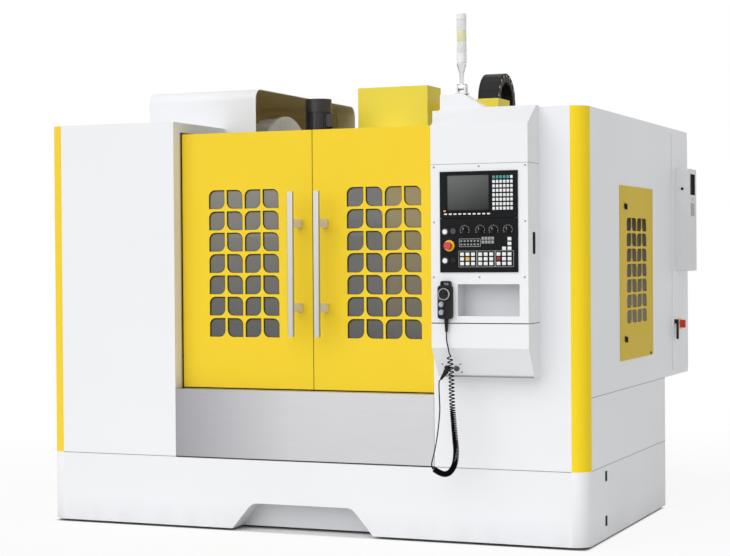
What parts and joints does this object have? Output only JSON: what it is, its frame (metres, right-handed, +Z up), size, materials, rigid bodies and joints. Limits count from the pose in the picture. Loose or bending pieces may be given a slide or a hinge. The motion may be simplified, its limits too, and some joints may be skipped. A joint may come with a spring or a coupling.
{
  "type": "cnc milling machine",
  "caption": "Enclosed vertical machining centre with sliding leaf-grille doors, hung control box, tool magazine, moving table and vertical spindle head.",
  "frame": {"origin": "middle of the machine's footprint on the floor", "axes": "+Z up, -Y towards the operator, +X to the operator's right"},
  "size_m": [3.3894, 2.672, 2.867],
  "materials": {
    "cast_grey": "painted casting",
    "way_steel": "ground steel",
    "white_sheet": "fine-textured powder coat",
    "yellow_sheet": "satin powder coat",
    "steel_sheet": "brushed stainless sheet",
    "black_plastic": "moulded plastic",
    "dark_metal": "black machine enamel",
    "smoked_glass": "smoked laminated glass",
    "panel_black": "printed control panel",
    "light_grey": "light grey enamel",
    "red_plastic": "gloss plastic",
    "white_plastic": "gloss plastic",
    "silver_metal": "turned aluminium",
    "lamp_plastic": "coloured lamp lenses",
    "cord_rubber": "cord sheath"
  },
  "bodies": {
    "frame": {"bed_casting": "cast_grey", "column_casting": "cast_grey", "levelling_feet": "dark_metal", "coolant_tray": "white_sheet", "left_front_cover": "white_sheet", "left_side_cover": "white_sheet", "right_front_cover": "white_sheet", "right_side_cover": "white_sheet", "corner_trims": "yellow_sheet", "electrical_cabinet": "white_sheet", "front_apron": "steel_sheet", "door_rail": "way_steel", "control_box": "white_sheet", "control_faceplate": "white_sheet", "display_unit": "panel_black", "operator_panel": "panel_black", "tower_base": "black_plastic", "magazine_cover": "white_sheet", "cam_box": "cast_grey", "exchange_motor": "dark_metal", "servo_motors": "dark_metal", "way_covers": "steel_sheet", "drag_chain": "black_plastic", "pendant_body": "black_plastic", "cord_lead": "cord_rubber", "cord_curl": "cord_rubber", "cord_gland": "black_plastic"},
    "left_door": {"left_door": "yellow_sheet", "left_window": "smoked_glass", "left_handle": "steel_sheet"},
    "right_door": {"right_door": "yellow_sheet", "right_window": "smoked_glass", "right_handle": "steel_sheet"},
    "saddle": {"saddle": "cast_grey"},
    "table": {"table": "way_steel"},
    "x_screw": {"x_screw": "way_steel"},
    "y_screw": {"y_screw": "way_steel"},
    "z_screw": {"z_screw": "way_steel"},
    "head": {"spindle_head": "light_grey", "head_cover": "yellow_sheet", "spindle_motor": "dark_metal"},
    "spindle": {"spindle": "way_steel"},
    "magazine_wheel": {"magazine_wheel": "light_grey"},
    "exchange_arm": {"exchange_arm": "way_steel"},
    "cabinet_door": {"cabinet_door": "white_sheet", "air_conditioner": "light_grey"},
    "cabinet_handle": {"cabinet_handle": "black_plastic"},
    "isolator_knob": {"isolator_knob": "red_plastic"},
    "vent_door": {"vent_door": "yellow_sheet"},
    "tower_light": {"tower_light": "lamp_plastic"},
    "estop": {"estop": "red_plastic"},
    "mode_knob": {"mode_knob": "black_plastic"},
    "feed_knob": {"feed_knob": "black_plastic"},
    "spindle_knob": {"spindle_knob": "black_plastic"},
    "rapid_knob": {"rapid_knob": "black_plastic"},
    "start_button": {"start_button": "white_plastic"},
    "hold_button": {"hold_button": "white_plastic"},
    "pendant_dial": {"pendant_dial": "black_plastic"},
    "pendant_axis_knob": {"pendant_axis_knob": "silver_metal"},
    "pendant_step_knob": {"pendant_step_knob": "silver_metal"}
  },
  "joints": [
    {"name": "left_door_slide", "type": "slide", "parent": "frame", "child": "left_door", "axis": [1, 0, 0], "range_m": [-0.7, 0]},
    {"name": "right_door_slide", "type": "slide", "parent": "frame", "child": "right_door", "axis": [1, 0, 0], "range_m": [0, 0.64]},
    {"name": "y_axis", "type": "slide", "parent": "frame", "child": "saddle", "axis": [0, 1, 0], "range_m": [-0.35, 0.35], "deforming": ["way_covers"]},
    {"name": "x_axis", "type": "slide", "parent": "saddle", "child": "table", "axis": [1, 0, 0], "range_m": [-0.65, 0.65]},
    {"name": "z_axis", "type": "slide", "parent": "frame", "child": "head", "axis": [0, 0, 1], "range_m": [-0.7, 0], "deforming": ["drag_chain"]},
    {"name": "spindle_spin", "type": "hinge", "parent": "head", "child": "spindle", "pos_m": [-0.04475, -0.076, 1.74], "axis": [0, 0, 1], "continuous": true},
    {"name": "magazine_turn", "type": "hinge", "parent": "frame", "child": "magazine_wheel", "pos_m": [-0.68475, 0.124, 2.105], "axis": [1, 0, 0], "continuous": true},
    {"name": "arm_swing", "type": "hinge", "parent": "frame", "child": "exchange_arm", "pos_m": [-0.42275, 0.024, 1.68], "axis": [0, 0, 1], "range_deg": [0, 255]},
    {"name": "cabinet_door_hinge", "type": "hinge", "parent": "frame", "child": "cabinet_door", "pos_m": [1.61175, 1.326, 1.575], "axis": [0, 0, 1], "range_deg": [0, 110]},
    {"name": "cabinet_handle_turn", "type": "hinge", "parent": "cabinet_door", "child": "cabinet_handle", "pos_m": [1.62525, 0.929, 1.14], "axis": [1, 0, 0], "range_deg": [-90, 0]},
    {"name": "isolator_turn", "type": "hinge", "parent": "cabinet_door", "child": "isolator_knob", "pos_m": [1.62525, 1.074, 1.121], "axis": [1, 0, 0], "range_deg": [0, 90]},
    {"name": "vent_door_hinge", "type": "hinge", "parent": "frame", "child": "vent_door", "pos_m": [1.61175, 0.379, 1.458], "axis": [0, 0, 1], "range_deg": [0, 100]},
    {"name": "tower_fold", "type": "hinge", "parent": "frame", "child": "tower_light", "pos_m": [0.92225, -1.085, 2.47], "axis": [1, 0, 0], "range_deg": [-90, 0]},
    {"name": "estop_push", "type": "slide", "parent": "frame", "child": "estop", "axis": [0, 1, 0], "range_m": [0, 0.006]},
    {"name": "mode_knob_turn", "type": "hinge", "parent": "frame", "child": "mode_knob", "pos_m": [1.00225, -1.282, 1.698], "axis": [0, 1, 0], "range_deg": [-75, 75]},
    {"name": "feed_knob_turn", "type": "hinge", "parent": "frame", "child": "feed_knob", "pos_m": [1.08825, -1.282, 1.698], "axis": [0, 1, 0], "range_deg": [-120, 120]},
    {"name": "spindle_knob_turn", "type": "hinge", "parent": "frame", "child": "spindle_knob", "pos_m": [1.16225, -1.282, 1.698], "axis": [0, 1, 0], "range_deg": [-120, 120]},
    {"name": "rapid_knob_turn", "type": "hinge", "parent": "frame", "child": "rapid_knob", "pos_m": [1.24125, -1.282, 1.698], "axis": [0, 1, 0], "range_deg": [-120, 120]},
    {"name": "start_button_push", "type": "slide", "parent": "frame", "child": "start_button", "axis": [0, 1, 0], "range_m": [0, 0.004], "stiffness_N_per_m": 400},
    {"name": "hold_button_push", "type": "slide", "parent": "frame", "child": "hold_button", "axis": [0, 1, 0], "range_m": [0, 0.004], "stiffness_N_per_m": 400},
    {"name": "pendant_dial_spin", "type": "hinge", "parent": "frame", "child": "pendant_dial", "pos_m": [0.89525, -1.31, 1.36], "axis": [0, 1, 0], "continuous": true},
    {"name": "pendant_axis_turn", "type": "hinge", "parent": "frame", "child": "pendant_axis_knob", "pos_m": [0.88125, -1.31, 1.306], "axis": [0, 1, 0], "range_deg": [-60, 60]},
    {"name": "pendant_step_turn", "type": "hinge", "parent": "frame", "child": "pendant_step_knob", "pos_m": [0.88125, -1.31, 1.264], "axis": [0, 1, 0], "range_deg": [-60, 60]},
    {"name": "x_screw_spin", "type": "hinge", "parent": "saddle", "child": "x_screw", "pos_m": [-0.04475, -0.076, 0.8], "axis": [1, 0, 0], "range_deg": [-14626, 14626]},
    {"name": "y_screw_spin", "type": "hinge", "parent": "frame", "child": "y_screw", "pos_m": [-0.04475, -0.076, 0.57], "axis": [0, 1, 0], "range_deg": [-7876, 7876]},
    {"name": "z_screw_spin", "type": "hinge", "parent": "frame", "child": "z_screw", "pos_m": [-0.04475, 0.719, 1.6], "axis": [0, 0, 1], "range_deg": [-15751, 1]}
  ],
  "couplings": [
    {"joint": "x_screw_spin", "follows": "x_axis", "rad_per_m": 392.7},
    {"joint": "y_screw_spin", "follows": "y_axis", "rad_per_m": 392.7},
    {"joint": "z_screw_spin", "follows": "z_axis", "rad_per_m": 392.7}
  ]
}
